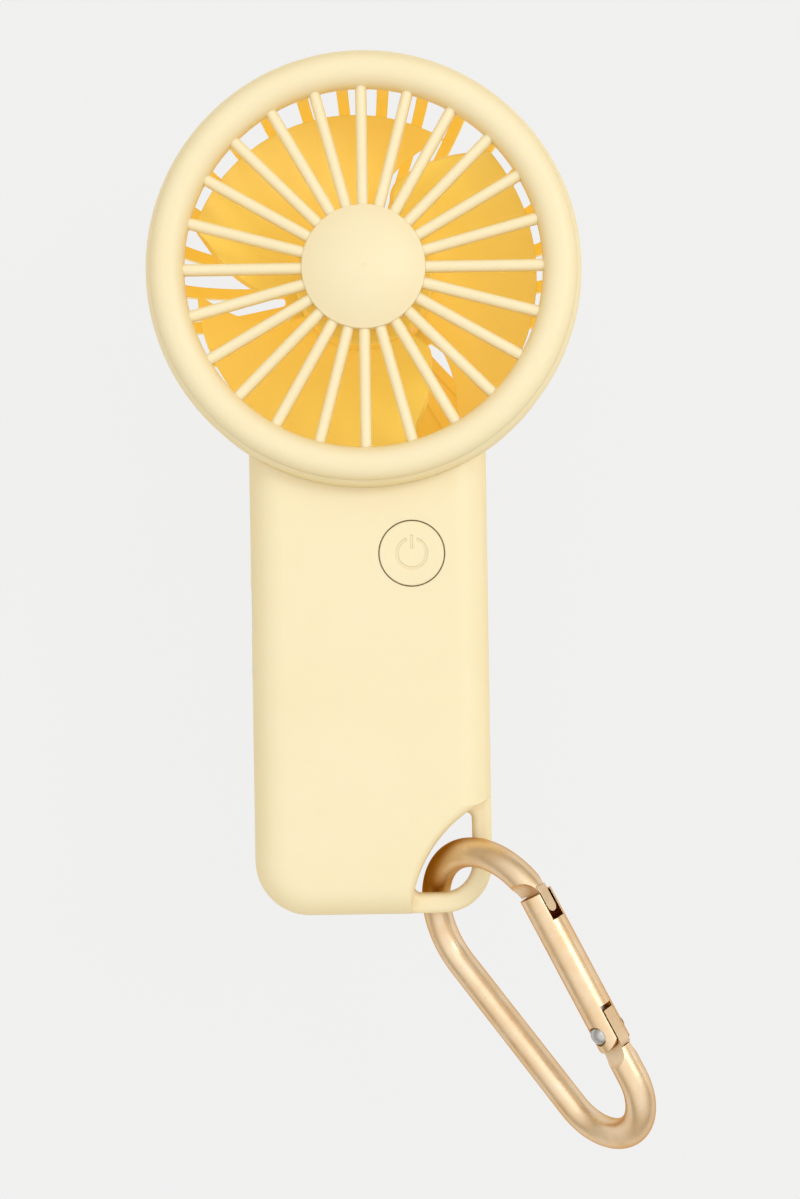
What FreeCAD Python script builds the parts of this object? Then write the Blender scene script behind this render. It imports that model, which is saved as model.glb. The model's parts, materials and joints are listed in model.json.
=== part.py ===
import FreeCAD, Part
import math
import os

# Handheld electric fan with a carabiner clip. Millimetres.
# Origin: centre of the handle's flat bottom end. +Z runs up to the head,
# the fan blows towards -Y, and +X is on the right seen from the front.

V = FreeCAD.Vector
Y_AXIS = V(0, 1, 0)

# Handle
HANDLE_HALF_W = 22.5
HANDLE_FRONT = -12.0
HANDLE_BACK = 12.0
HANDLE_TOP = 97.0
CORNER_LEFT = 10.5
CORNER_RIGHT = 9.4
EDGE_ROUND = 6.4
WALL = 1.8
PARTING_Y = -3.0
SEAM = 0.3

# Lanyard loop in the lower right corner
ARC_X = 32.3
ARC_Z = -1.35
ARC_R = 25.5
ARC_ROUND = 2.0
LOOP_RIGHT_BAR = 3.7
LOOP_BOTTOM_BAR = 3.8
LOOP_FRONT = -7.0
LOOP_BACK = -3.5
LOOP_ROUND = 1.3

# Head
HEAD_Z = 121.0
HEAD_R = 40.3
BAND_INNER_R = 38.0
BAND_FRONT = -17.2
BEZEL_CREST = -19.4
OPENING_R = 33.1
SKIRT_R = 37.85
SKIRT_BACK = -8.5
RIM_BACK = -1.5
RIM_STEP = 0.35
BOWL_CENTRE_R = 24.0
BOWL_BACK = 12.0
CAGE_T = 2.0
HANDLE_CUT_R = 37.0
CAVITY_TOP_R = 41.5

# Screw posts inside the handle
FRONT_POST_R = 2.6
REAR_POST_R = 2.7
BOARD_POST_R = 2.0
HANDLE_SCREW_R = 0.85
HANDLE_SCREW_HEAD_R = 1.85
HANDLE_SCREW_SEAT = 7.0
HANDLE_SCREW_TIP = -8.6
BOARD_SCREW_R = 0.7
BOARD_SCREW_HEAD_R = 1.5
BOARD_SCREW_TIP = -10.2

# Front grille
SPOKES = 24
SPOKE_W = 2.1
SPOKE_FRONT = -17.2
SPOKE_BACK = -14.2
SPOKE_WEB_W = 1.4
LIP_BACK = -15.2
DOME_R = 11.4
DOME_FRONT = -20.6
DOME_EDGE = -17.5
DOME_BACK = -13.2
DOME_WALL = 1.6
BEZEL_WALL = 1.4
BEZEL_FLOOR = -16.4
SNAPS = 4
SNAP_RISE = 0.45
SNAP_FRONT = -11.0
SNAP_BACK = -10.0

# Rear cage
RIBS = 30
RIB_HUB_W = 1.7
RIB_RIM_W = 2.4
GAP_ROUND = 0.7
CLOSED_HALF_ANGLE = 40.0
CLOSED_SKIN = 1.1
REAR_HUB_R = 16.2
HUB_INNER_Y = 10.0

# Impeller
BLADES = 3
BLADE_TIP_R = 33.0
BLADE_FRONT_ANGLE = -100.2
BLADE_REAR_ANGLE = 4.8
BLADE_FRONT_SWEEP = 27.0
BLADE_STRAIGHT_SPAN = 0.28
BLADE_REAR_SWEEP = 24.0
BLADE_REAR_POWER = 1.3
BLADE_FRONT_Y = -7.0
BLADE_TIP_FORWARD = 2.0
BLADE_REAR_Y = 5.2
BLADE_TIP_BACK = 0.4
BLADE_ARCH = 1.2
BLADE_T = 1.2
ROTOR_HUB_WALL = 1.5
ROTOR_HUB_R = 13.2
ROTOR_HUB_INNER_R = 11.9
ROTOR_FRONT = -8.0
ROTOR_BACK = 6.5

# Motor
YOKE_WALL = 0.8
MAGNET_T = 1.2
MAGNET_FRONT = -4.4
MAGNET_BACK = 4.6
SHAFT_R = 1.0
SHAFT_END = 10.8
CLIP_GROOVE_R = 0.75
CLIP_GROOVE_FRONT = 9.5
CLIP_GROOVE_BACK = 9.9
BUSH_CLEARANCE = 0.03
BUSH_R = 2.0
TUBE_R = 2.6
TUBE_FRONT = -4.6
TUBE_BACK = 11.0
BUSH_LENGTH = 4.0
REAR_BUSH_FRONT = 5.2
STATOR_R = 9.5
STATOR_HALF = 3.0
TEETH = 6
TOOTH_NECK = 0.9
STATOR_HUB_R = 4.2
INSULATOR_T = 0.7
COIL_HALF_W = 2.1
COIL_HALF_L = 4.7
COIL_INNER_R = 4.5
COIL_OUTER_R = 8.3
BOARD_FRONT = 8.2
BOARD_T = 0.8
BOARD_R = 12.6
MOTOR_SCREWS = 3
SCREW_CIRCLE_R = 10.2
MOTOR_SCREW_R = 0.85

# Button, main board and battery
BUTTON_X = 8.1
BUTTON_Z = 68.3
BUTTON_R = 6.25
BUTTON_GAP = 0.2
FLANGE_FRONT = -10.1
FLANGE_BACK = -9.5
PCB_FRONT = -8.2
PCB_BACK = -7.2
PCB_HALF_W = 14.2
PCB_BOTTOM = 43.5
PCB_TOP = 78.0
PCB_TAB_LEFT = -19.5
PCB_TAB_TOP = 64.5
SWITCH_HALF_W = 2.2
SWITCH_H = 0.8
USB_Z = 58.0
USB_HALF_W = 4.47
USB_H = 3.26
LED_Z = 47.0
LIGHT_PIPE_LENGTH = 2.4
CELL_HALF_W = 14.0
CELL_FRONT = -0.6
CELL_BACK = 9.4
CELL_BOTTOM = 20.5
CELL_TOP = 68.5
HANDLE_SCREWS = [(-17.0, 74.0), (17.0, 74.0), (-17.0, 14.0), (17.0, 31.0)]
PCB_SCREWS = [(-11.0, 75.0), (-11.0, 46.5), (11.0, 46.5)]
BATTERY_WIRE_R = 0.55
MOTOR_WIRE_R = 0.45
COVER_HALF_W = 2.0
TUNNEL_HALF_W = 1.8

# Carabiner: two round ends joined by a straight back leg and a straight gate
ROD_R = 2.75
NOSE_R = 15.05
HEEL_R = 9.93
HEEL_U = 33.8
LEG_POINT = V(16.75, 1.35, -11.16)
LEG_ANGLE = 38.86
TILT_ANGLE = -18.0
LEAN_ANGLE = 47.15
GATE_R = 3.1
GATE_START = -2.7
GATE_GAP = 0.3
RIVET_S = 24.6
GATE_END_R = 3.2
NOSE_TONGUE_HALF_T = 1.0
HEEL_TONGUE_HALF_T = 1.15
NOSE_SLOT_HALF_T = 1.4
HEEL_SLOT_HALF_T = 1.35
NOSE_SLOT_END = 2.55
NOSE_TONGUE_END = 1.2
HEEL_SLOT_START = 20.0
HEEL_FLAP_START = 20.9
NOSE_TONGUE_TOP = 2.6
HEEL_TONGUE_TOP = 2.95
HEEL_ARM_TOP = 2.3
SCOOP_R = 3.4
RIVET_R = 1.1
RIVET_SEAT = 2.75
RIVET_DOME_R = 2.0
RIVET_DOME_DROP = 1.05
CAM_R = 2.0
CAM_OFFSET = 0.7
BORE_R = 1.75
BORE_START = 7.5
PLUNGER_BACK = 18.0


# ---------------------------------------------------------------- helpers

def box(x0, x1, y0, y1, z0, z1):
    return Part.makeBox(x1 - x0, y1 - y0, z1 - z0, V(x0, y0, z0))


def rod_y(radius, y0, y1, x=0.0, z=HEAD_Z):
    return Part.makeCylinder(radius, y1 - y0, V(x, y0, z), Y_AXIS)


def ring_y(outer, inner, y0, y1, x=0.0, z=HEAD_Z):
    return rod_y(outer, y0, y1, x, z).cut(rod_y(inner, y0 - 1, y1 + 1, x, z))


def outline(steps, to_point):
    # A step is one point (straight to it) or a pair (arc through the first to the second).
    first = steps[0]
    here = to_point(*first)
    start = here
    edges = []
    for step in steps[1:]:
        if isinstance(step[0], tuple):
            middle = to_point(*step[0])
            there = to_point(*step[1])
            edges.append(Part.Arc(here, middle, there).toShape())
        else:
            there = to_point(*step)
            edges.append(Part.makeLine(here, there))
        here = there
    if here.distanceToPoint(start) > 1e-6:
        edges.append(Part.makeLine(here, start))
    return Part.Face(Part.Wire(edges))


def turned(steps, x=0.0, z=HEAD_Z):
    # Steps are (radius, y) points; the solid turns about the Y direction through x, z.
    face = outline(steps, lambda r, y: V(r, y, 0))
    solid = face.revolve(V(0, 0, 0), Y_AXIS, 360)
    solid.translate(V(x, 0, z))
    return solid


def slab(y0, y1):
    # Everything between two depths, over the whole fan.
    return box(-60, 60, y0, y1, -5, 170)


def around_head(shape, degrees):
    return shape.rotated(V(0, 0, HEAD_Z), Y_AXIS, degrees)


def fuse(shapes):
    return shapes[0].multiFuse(shapes[1:]).removeSplitter()


def wire_along(points, radius):
    curve = Part.BSplineCurve()
    curve.interpolate(points)
    path = Part.Wire(curve.toShape())
    tangent = curve.tangent(curve.FirstParameter)[0]
    section = Part.Wire(Part.makeCircle(radius, points[0], tangent))
    return path.makePipeShell([section], True, False)


def save(name, shape):
    shape.exportStep("parts/" + name + ".step")


# ---------------------------------------------------------------- handle body

def handle_outline(inset, y):
    # Inset outline with its two bottom corners rounded, as a face at one depth.
    w = HANDLE_HALF_W - inset
    left = CORNER_LEFT - inset
    right = CORNER_RIGHT - inset
    k = math.sqrt(0.5)
    steps = [
        (-w, HANDLE_TOP),
        (-w, inset + left),
        ((-w + left - left * k, inset + left - left * k), (-w + left, inset)),
        (w - right, inset),
        ((w - right + right * k, inset + right - right * k), (w, inset + right)),
        (w, HANDLE_TOP),
    ]
    return outline(steps, lambda x, z: V(x, y, z))


def handle_block(inset, y0, y1, edge_round):
    block = handle_outline(inset, y0).extrude(V(0, y1 - y0, 0))
    rims = []
    for edge in block.Edges:
        bounds = edge.BoundBox
        flat = bounds.YLength < 0.001
        top = bounds.ZMin > HANDLE_TOP - 0.001
        if flat and not top:
            rims.append(edge)
    return block.makeFillet(edge_round, rims)


def arc_cutter(radius, round_r):
    # Round cutter of the loop corner, flared at both faces to round their edges.
    k = round_r * (1 - math.sqrt(0.5))
    front = HANDLE_FRONT
    back = HANDLE_BACK
    steps = [
        (0, front - 1),
        (radius + round_r, front - 1),
        (radius + round_r, front),
        ((radius + k, front + k), (radius, front + round_r)),
        (radius, back - round_r),
        ((radius + k, back - k), (radius + round_r, back)),
        (radius + round_r, back + 1),
        (0, back + 1),
    ]
    return turned(steps, ARC_X, ARC_Z)


def handle_cavity():
    inner = handle_block(WALL, HANDLE_FRONT + WALL, HANDLE_BACK - WALL, EDGE_ROUND - WALL)
    inner = inner.cut(rod_y(ARC_R + WALL, HANDLE_FRONT, HANDLE_BACK, ARC_X, ARC_Z))
    return inner.cut(rod_y(CAVITY_TOP_R, HANDLE_FRONT, HANDLE_BACK))


def parting_groove():
    y0 = PARTING_Y - SEAM / 2
    y1 = PARTING_Y + SEAM / 2
    outer = handle_outline(-1.0, y0).extrude(V(0, y1 - y0, 0))
    groove = outer.cut(handle_outline(SEAM, y0 - 1).extrude(V(0, 4, 0)))
    groove = groove.cut(rod_y(HEAD_R, y0 - 1, y1 + 1))
    head = ring_y(HEAD_R + 1, HEAD_R - SEAM, y0, y1)
    head = head.cut(box(-HANDLE_HALF_W + SEAM, HANDLE_HALF_W - SEAM, y0 - 1, y1 + 1, 0, HEAD_Z))
    return groove.fuse(head)


def loop_plate():
    # Bars round the open corner; the plate runs a little way into the arc's wall.
    depth = LOOP_BACK - LOOP_FRONT
    plate = handle_outline(0.0, LOOP_FRONT).extrude(V(0, depth, 0))
    plate = plate.common(rod_y(ARC_R + WALL, LOOP_FRONT, LOOP_BACK, ARC_X, ARC_Z))
    w = HANDLE_HALF_W - LOOP_RIGHT_BAR
    corner = CORNER_RIGHT - LOOP_RIGHT_BAR
    k = math.sqrt(0.5)
    steps = [
        (-w, LOOP_BOTTOM_BAR),
        (w - corner, LOOP_BOTTOM_BAR),
        ((w - corner + corner * k, LOOP_BOTTOM_BAR + corner - corner * k), (w, LOOP_BOTTOM_BAR + corner)),
        (w, HANDLE_TOP),
        (-w, HANDLE_TOP),
    ]
    hole = outline(steps, lambda x, z: V(x, LOOP_FRONT - 1, z)).extrude(V(0, depth + 2, 0))
    hole = hole.common(rod_y(ARC_R, LOOP_FRONT - 1, LOOP_BACK + 1, ARC_X, ARC_Z))
    uprights = []
    for edge in hole.Edges:
        bounds = edge.BoundBox
        sharp = bounds.XLength < 0.001 and bounds.ZLength < 0.001
        near_arc = abs(math.hypot(bounds.XMin - ARC_X, bounds.ZMin - ARC_Z) - ARC_R) < 0.01
        if sharp and near_arc:
            uprights.append(edge)
    hole = hole.makeFillet(LOOP_ROUND, uprights)
    plate = plate.cut(hole)
    rims = []
    for edge in plate.Edges:
        bounds = edge.BoundBox
        at_back = abs(bounds.YMin - LOOP_BACK) < 0.001 and bounds.YLength < 0.001
        at_front = abs(bounds.YMax - LOOP_FRONT) < 0.001 and bounds.YLength < 0.001
        middle = edge.valueAt((edge.FirstParameter + edge.LastParameter) / 2)
        reach = math.hypot(middle.x - ARC_X, middle.z - ARC_Z)
        if (at_back or at_front) and reach < ARC_R - 0.5:
            rims.append(edge)
    return plate.makeFillet(LOOP_ROUND, rims)


def boss(x, z, radius, y0, y1):
    return rod_y(radius, y0, y1, x, z)


def body_envelope():
    block = handle_block(0.0, HANDLE_FRONT, HANDLE_BACK, EDGE_ROUND)
    block = block.cut(arc_cutter(ARC_R, ARC_ROUND))
    block = block.cut(rod_y(HANDLE_CUT_R, HANDLE_FRONT - 1, HANDLE_BACK + 1))
    return block.cut(handle_cavity())


def head_band():
    steps = [
        (BAND_INNER_R, BAND_FRONT),
        (39.35, BAND_FRONT),
        ((40.05, -16.1), (HEAD_R, -14.3)),
        (HEAD_R, -6.0),
        ((40.2, -4.2), (39.95, RIM_BACK - 1.0)),
        (39.95, RIM_BACK),
        (BAND_INNER_R, RIM_BACK),
    ]
    band = turned(steps)
    return band.cut(ring_y(BAND_INNER_R + 0.5, BAND_INNER_R - 1, SNAP_FRONT - 0.3, SNAP_BACK + 0.3))


def usb_opening():
    y_mid = PCB_BACK + USB_H / 2
    half_h = USB_H / 2 + 0.2
    half_w = USB_HALF_W + 0.2 - half_h
    x0 = -HANDLE_HALF_W - 1
    x1 = -HANDLE_HALF_W + WALL + 1
    slot = box(x0, x1, y_mid - half_h, y_mid + half_h, USB_Z - half_w, USB_Z + half_w)
    for side in (-1, 1):
        end = Part.makeCylinder(half_h, x1 - x0, V(x0, y_mid, USB_Z + side * half_w), V(1, 0, 0))
        slot = slot.fuse(end)
    return slot


def led_hole(radius, x0, x1):
    return Part.makeCylinder(radius, x1 - x0, V(x0, PCB_BACK + 1.0, LED_Z), V(1, 0, 0))


def front_shell():
    shell = body_envelope().fuse(head_band())
    shell = shell.cut(rod_y(BAND_INNER_R, HANDLE_FRONT - 8, RIM_BACK + 1))
    shell = shell.cut(parting_groove())
    shell = shell.common(slab(BEZEL_CREST - 1, PARTING_Y))
    inner_front = HANDLE_FRONT + WALL
    posts = [boss(x, z, FRONT_POST_R, inner_front - 0.5, PARTING_Y) for x, z in HANDLE_SCREWS]
    posts += [boss(x, z, BOARD_POST_R, inner_front - 0.5, PCB_FRONT) for x, z in PCB_SCREWS]
    shell = fuse([shell, loop_plate()] + posts)
    holes = [boss(x, z, HANDLE_SCREW_R, HANDLE_SCREW_TIP - 0.6, PARTING_Y + 1) for x, z in HANDLE_SCREWS]
    holes += [boss(x, z, BOARD_SCREW_R, BOARD_SCREW_TIP - 0.4, PCB_FRONT + 1) for x, z in PCB_SCREWS]
    holes.append(rod_y(BUTTON_R, HANDLE_FRONT - 1, inner_front + 1, BUTTON_X, BUTTON_Z))
    holes.append(usb_opening())
    holes.append(led_hole(0.95, -HANDLE_HALF_W - 1, -HANDLE_HALF_W + WALL + 1))
    return shell.cut(holes)


# ---------------------------------------------------------------- rear shell

def bowl_solid(inset):
    # Rounded bowl between the band's rim and the flat back, inset for its inner side.
    reach = HEAD_R - RIM_STEP - BOWL_CENTRE_R - inset
    depth = BOWL_BACK - inset - RIM_BACK
    ellipse = Part.Ellipse(V(BOWL_CENTRE_R, RIM_BACK, 0), reach, depth)
    arc = Part.ArcOfEllipse(ellipse, 0.0, math.pi / 2).toShape()
    side = V(BOWL_CENTRE_R + reach, RIM_BACK, 0)
    top = V(BOWL_CENTRE_R, RIM_BACK + depth, 0)
    axis_top = V(0, RIM_BACK + depth, 0)
    axis_low = V(0, RIM_BACK, 0)
    lines = [Part.makeLine(top, axis_top), Part.makeLine(axis_top, axis_low), Part.makeLine(axis_low, side)]
    face = Part.Face(Part.Wire([arc] + lines))
    solid = face.revolve(V(0, 0, 0), Y_AXIS, 360)
    solid.translate(V(0, 0, HEAD_Z))
    return solid


def cage_opening():
    # One gap between two ribs, which both grow wider from the hub to the rim.
    half_step = math.radians(180.0 / RIBS)
    inner = REAR_HUB_R
    outer = HEAD_R + 3

    def corner(radius, side):
        rib_w = RIB_RIM_W if radius > BOWL_CENTRE_R else RIB_HUB_W
        offset = half_step - math.asin(rib_w / 2 / radius)
        return (side * radius * math.sin(offset), HEAD_Z + radius * math.cos(offset))

    steps = [
        corner(inner, -1),
        corner(outer, -1),
        ((0, HEAD_Z + outer), corner(outer, 1)),
        corner(inner, 1),
        ((0, HEAD_Z + inner), corner(inner, -1)),
    ]
    gap = outline(steps, lambda x, z: V(x, RIM_BACK, z)).extrude(V(0, BOWL_BACK + 2 - RIM_BACK, 0))
    soft = []
    for edge in gap.Edges:
        bounds = edge.BoundBox
        upright = bounds.XLength < 0.001 and bounds.ZLength < 0.001
        near_hub = math.hypot(bounds.XMin, bounds.ZMin - HEAD_Z) < inner + 0.1
        on_rim = bounds.YMax < RIM_BACK + 0.001 and bounds.ZLength > 5
        if (upright and near_hub) or on_rim:
            soft.append(edge)
    return gap.makeFillet(GAP_ROUND, soft)


def rear_cage():
    shell = bowl_solid(0.0).cut(bowl_solid(CAGE_T))
    gap = cage_opening()
    # Where the handle joins, the gaps are closed by a thin skin behind the ribs.
    pocket = gap.common(bowl_solid(CLOSED_SKIN))
    gaps = []
    for i in range(RIBS):
        angle = 360.0 * i / RIBS
        closed = abs(angle - 180.0) < CLOSED_HALF_ANGLE
        gaps.append(around_head(pocket if closed else gap, angle))
    cage = shell.cut(gaps)
    rim = ring_y(HEAD_R - RIM_STEP, BAND_INNER_R, PARTING_Y, RIM_BACK + 0.01)
    return cage.fuse(rim)


def motor_screw_places():
    angles = [math.radians(360 / MOTOR_SCREWS * i) for i in range(MOTOR_SCREWS)]
    return [(SCREW_CIRCLE_R * math.sin(a), HEAD_Z + SCREW_CIRCLE_R * math.cos(a)) for a in angles]


def hub_posts():
    posts = [rod_y(4.4, 6.0, HUB_INNER_Y + 0.5)]
    for x, z in motor_screw_places():
        posts.append(rod_y(1.8, BOARD_FRONT + BOARD_T, HUB_INNER_Y + 0.5, x, z))
    return posts


def hub_holes():
    holes = [rod_y(TUBE_R, 5.0, TUBE_BACK)]
    for x, z in motor_screw_places():
        holes.append(rod_y(MOTOR_SCREW_R, BOARD_FRONT - 1, TUBE_BACK + 0.2, x, z))
    return holes


def cable_bridge():
    low = HEAD_Z - HANDLE_CUT_R - 2.0
    return box(-3.2, 3.2, 9.4, BOWL_BACK, low, HEAD_Z - 14.5)


def cable_groove():
    # The way of the motor's wires: a ramp at the hub, a covered groove, a tunnel and its mouth in the handle.
    low = HEAD_Z - CAVITY_TOP_R - 1.0
    wide = COVER_HALF_W + 0.1
    half = TUNNEL_HALF_W
    groove = box(-wide, wide, 9.99, BOWL_BACK + 1, HEAD_Z - 36.0, HEAD_Z - 12.0)
    tunnel = box(-half, half, 8.4, 11.2, low, HEAD_Z - 35.0)
    mouth = box(-half, half, 7.0, 10.0, low, HEAD_Z - CAVITY_TOP_R + 1.6)
    ramp = box(-half, half, 9.99, 11.0, HEAD_Z - 12.5, HEAD_Z - 10.6)
    return [groove, tunnel, mouth, ramp]


def rear_shell():
    block = body_envelope().cut(parting_groove())
    block = block.common(slab(PARTING_Y, HANDLE_BACK + 1))
    inner_back = HANDLE_BACK - WALL
    pieces = [block, rear_cage(), cable_bridge()] + hub_posts()
    pieces += [boss(x, z, REAR_POST_R, PARTING_Y, inner_back + 0.5) for x, z in HANDLE_SCREWS]
    shell = fuse(pieces)
    cuts = hub_holes() + cable_groove()
    for x, z in HANDLE_SCREWS:
        cuts.append(boss(x, z, HANDLE_SCREW_R + 0.3, PARTING_Y - 1, HANDLE_BACK))
        cuts.append(boss(x, z, HANDLE_SCREW_HEAD_R + 0.15, HANDLE_SCREW_SEAT, HANDLE_BACK + 1))
    groove_ring = ring_y(HEAD_R + 1, HEAD_R - 0.65, PARTING_Y, PARTING_Y + SEAM / 2)
    cuts.append(groove_ring.cut(box(-HANDLE_HALF_W, HANDLE_HALF_W, -10, 10, 0, HEAD_Z)))
    return shell.cut(cuts)


def cable_cover():
    return box(-COVER_HALF_W, COVER_HALF_W, 11.25, BOWL_BACK, HEAD_Z - 35.9, HEAD_Z - 12.1)


# ---------------------------------------------------------------- front grille

def spoke():
    half = SPOKE_W / 2
    web = SPOKE_WEB_W / 2
    front = SPOKE_FRONT
    step = front + 1.9
    steps = [
        (-half, step),
        (-half, front + half),
        ((0, front), (half, front + half)),
        (half, step),
        (web, step),
        (web, SPOKE_BACK),
        (-web, SPOKE_BACK),
        (-web, step),
    ]
    start = HEAD_Z + DOME_R - 0.8
    length = OPENING_R + 0.8 - DOME_R + 0.8
    return outline(steps, lambda x, y: V(x, y, start)).extrude(V(0, 0, length))


def bezel():
    steps = [
        (OPENING_R, LIP_BACK),
        (OPENING_R, -16.2),
        ((34.0, -18.5), (36.3, BEZEL_CREST)),
        ((38.3, -18.8), (39.3, BAND_FRONT - 0.12)),
        (SKIRT_R, BAND_FRONT - 0.12),
        (SKIRT_R, SKIRT_BACK),
        (SKIRT_R - BEZEL_WALL, SKIRT_BACK),
        (SKIRT_R - BEZEL_WALL, BEZEL_FLOOR),
        (35.2, BEZEL_FLOOR),
        (34.5, LIP_BACK),
    ]
    ring = turned(steps)
    snaps = ring_y(SKIRT_R + SNAP_RISE, SKIRT_R - 0.3, SNAP_FRONT, SNAP_BACK)
    for i in range(SNAPS):
        keep = box(-4, 4, SNAP_FRONT - 1, SNAP_BACK + 1, HEAD_Z + 30, HEAD_Z + 42)
        ring = ring.fuse(snaps.common(around_head(keep, 45 + 360 / SNAPS * i)))
    return ring


def dome():
    # Two concentric spherical caps joined by a short straight skirt.
    rise = DOME_EDGE - DOME_FRONT
    ball = (DOME_R ** 2 + rise ** 2) / (2 * rise)
    centre = DOME_FRONT + ball
    inner_ball = ball - DOME_WALL
    inner_r = DOME_R - DOME_WALL

    def cap(radius, r):
        return (r, centre - math.sqrt(radius ** 2 - r ** 2))

    steps = [
        cap(ball, 0),
        (cap(ball, DOME_R / 2), cap(ball, DOME_R)),
        (DOME_R, DOME_BACK),
        (inner_r, DOME_BACK),
        cap(inner_ball, inner_r),
        (cap(inner_ball, inner_r / 2), cap(inner_ball, 0)),
    ]
    return turned(steps)


def front_grille():
    first = spoke()
    spokes = [around_head(first, 360.0 * i / SPOKES) for i in range(SPOKES)]
    return dome().multiFuse(spokes).fuse(bezel()).removeSplitter()


# ---------------------------------------------------------------- impeller

def blade_point(radius, s):
    # s runs from the front (trailing) edge to the rear (leading) edge.
    span = (radius - ROTOR_HUB_R) / (BLADE_TIP_R - ROTOR_HUB_R)
    span = max(0.0, span)
    swept = max(0.0, span - BLADE_STRAIGHT_SPAN) / (1 - BLADE_STRAIGHT_SPAN)
    front_angle = BLADE_FRONT_ANGLE + BLADE_FRONT_SWEEP * swept
    rear_angle = BLADE_REAR_ANGLE + BLADE_REAR_SWEEP * span ** BLADE_REAR_POWER
    angle = math.radians(front_angle + (rear_angle - front_angle) * s)
    front_y = BLADE_FRONT_Y - BLADE_TIP_FORWARD * span
    rear_y = BLADE_REAR_Y + BLADE_TIP_BACK * span
    lift = BLADE_ARCH * math.sin(math.pi * s)
    y = front_y + (rear_y - front_y) * s + lift
    return V(radius * math.sin(angle), y, HEAD_Z + radius * math.cos(angle))


def blade():
    rows = 8
    columns = 9
    root = ROTOR_HUB_INNER_R + 0.6
    small = 0.02
    upper = []
    lower = []
    for i in range(rows):
        radius = root + (BLADE_TIP_R + 1.0 - root) * i / (rows - 1)
        top_row = []
        low_row = []
        for j in range(columns):
            s = j / (columns - 1)
            here = blade_point(radius, s)
            along = blade_point(radius, s + small) - blade_point(radius, s - small)
            out = blade_point(radius + small, s) - blade_point(radius - small, s)
            normal = along.cross(out)
            normal.normalize()
            offset = normal * (BLADE_T / 2)
            top_row.append(here + offset)
            low_row.append(here - offset)
        upper.append(top_row)
        lower.append(low_row)
    faces = []
    for grid in (upper, lower):
        surface = Part.BSplineSurface()
        surface.interpolate(grid)
        faces.append(surface.toShape())
    for a, b in zip(side_curves(upper), side_curves(lower)):
        faces.append(Part.makeRuledSurface(a, b))
    shell = Part.makeShell(faces)
    shell.sewShape()
    solid = Part.makeSolid(Part.makeShell(shell.Faces))
    if solid.Volume < 0:
        solid.reverse()
    return solid.common(rod_y(BLADE_TIP_R, -20, 20))


def side_curves(grid):
    surface = Part.BSplineSurface()
    surface.interpolate(grid)
    u0, u1, v0, v1 = surface.bounds()
    return [surface.uIso(u0).toShape(), surface.uIso(u1).toShape(),
            surface.vIso(v0).toShape(), surface.vIso(v1).toShape()]


def impeller():
    steps = [
        (0, ROTOR_FRONT),
        (ROTOR_HUB_R - 3.2, ROTOR_FRONT),
        (ROTOR_HUB_R - 2.9, ROTOR_FRONT + 0.5),
        (ROTOR_HUB_R - 0.8, ROTOR_FRONT + 0.5),
        ((ROTOR_HUB_R - 0.23, ROTOR_FRONT + 0.73), (ROTOR_HUB_R, ROTOR_FRONT + 1.3)),
        (ROTOR_HUB_R, ROTOR_BACK),
        (ROTOR_HUB_INNER_R, ROTOR_BACK),
        (ROTOR_HUB_INNER_R, ROTOR_FRONT + ROTOR_HUB_WALL),
        (0, ROTOR_FRONT + ROTOR_HUB_WALL),
    ]
    hub = turned(steps)
    core = rod_y(ROTOR_HUB_INNER_R, ROTOR_FRONT + ROTOR_HUB_WALL, ROTOR_BACK + 5)
    first = blade().cut(core)
    blades = [around_head(first, 360.0 * i / BLADES) for i in range(BLADES)]
    return fuse([hub] + blades)


# ---------------------------------------------------------------- motor

def rotor_yoke():
    front = ROTOR_FRONT + ROTOR_HUB_WALL
    cup = rod_y(ROTOR_HUB_INNER_R, front, ROTOR_BACK - 1.0)
    cup = cup.cut(rod_y(ROTOR_HUB_INNER_R - YOKE_WALL, front + YOKE_WALL, ROTOR_BACK))
    return cup.cut(rod_y(SHAFT_R, front - 1, front + 2))


def magnet_ring():
    outer = ROTOR_HUB_INNER_R - YOKE_WALL
    return ring_y(outer, outer - MAGNET_T, MAGNET_FRONT, MAGNET_BACK)


def motor_shaft():
    shaft = rod_y(SHAFT_R, ROTOR_FRONT + ROTOR_HUB_WALL, SHAFT_END)
    return shaft.cut(ring_y(SHAFT_R + 1, CLIP_GROOVE_R, CLIP_GROOVE_FRONT, CLIP_GROOVE_BACK))


def shaft_clip():
    clip = ring_y(1.7, CLIP_GROOVE_R, CLIP_GROOVE_FRONT + 0.02, CLIP_GROOVE_BACK - 0.02)
    return clip.cut(box(0, 3, CLIP_GROOVE_FRONT - 0.5, CLIP_GROOVE_BACK + 0.6, HEAD_Z - 0.45, HEAD_Z + 0.45))


def bearing_tube():
    return ring_y(TUBE_R, BUSH_R, TUBE_FRONT, TUBE_BACK)


def bearing_bushes():
    bore = SHAFT_R + BUSH_CLEARANCE
    fronts = (TUBE_FRONT, REAR_BUSH_FRONT)
    return Part.makeCompound([ring_y(BUSH_R, bore, y, y + BUSH_LENGTH) for y in fronts])


def tooth_shape(y0, y1, neck, hub_r, shrink):
    pieces = [ring_y(hub_r, TUBE_R, y0, y1)]
    shoe = ring_y(STATOR_R - shrink, STATOR_R - 0.9, y0, y1)
    for i in range(TEETH):
        angle = 360.0 * i / TEETH
        arm = box(-neck, neck, y0, y1, HEAD_Z + hub_r - 0.6, HEAD_Z + STATOR_R - 0.5)
        cap = shoe.common(box(-3.6, 3.6, y0 - 1, y1 + 1, HEAD_Z + 6, HEAD_Z + 12))
        pieces.append(around_head(arm, angle))
        pieces.append(around_head(cap, angle))
    return fuse(pieces)


def stator_core():
    return tooth_shape(-STATOR_HALF, STATOR_HALF, TOOTH_NECK, STATOR_HUB_R, 0.0)


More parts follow.
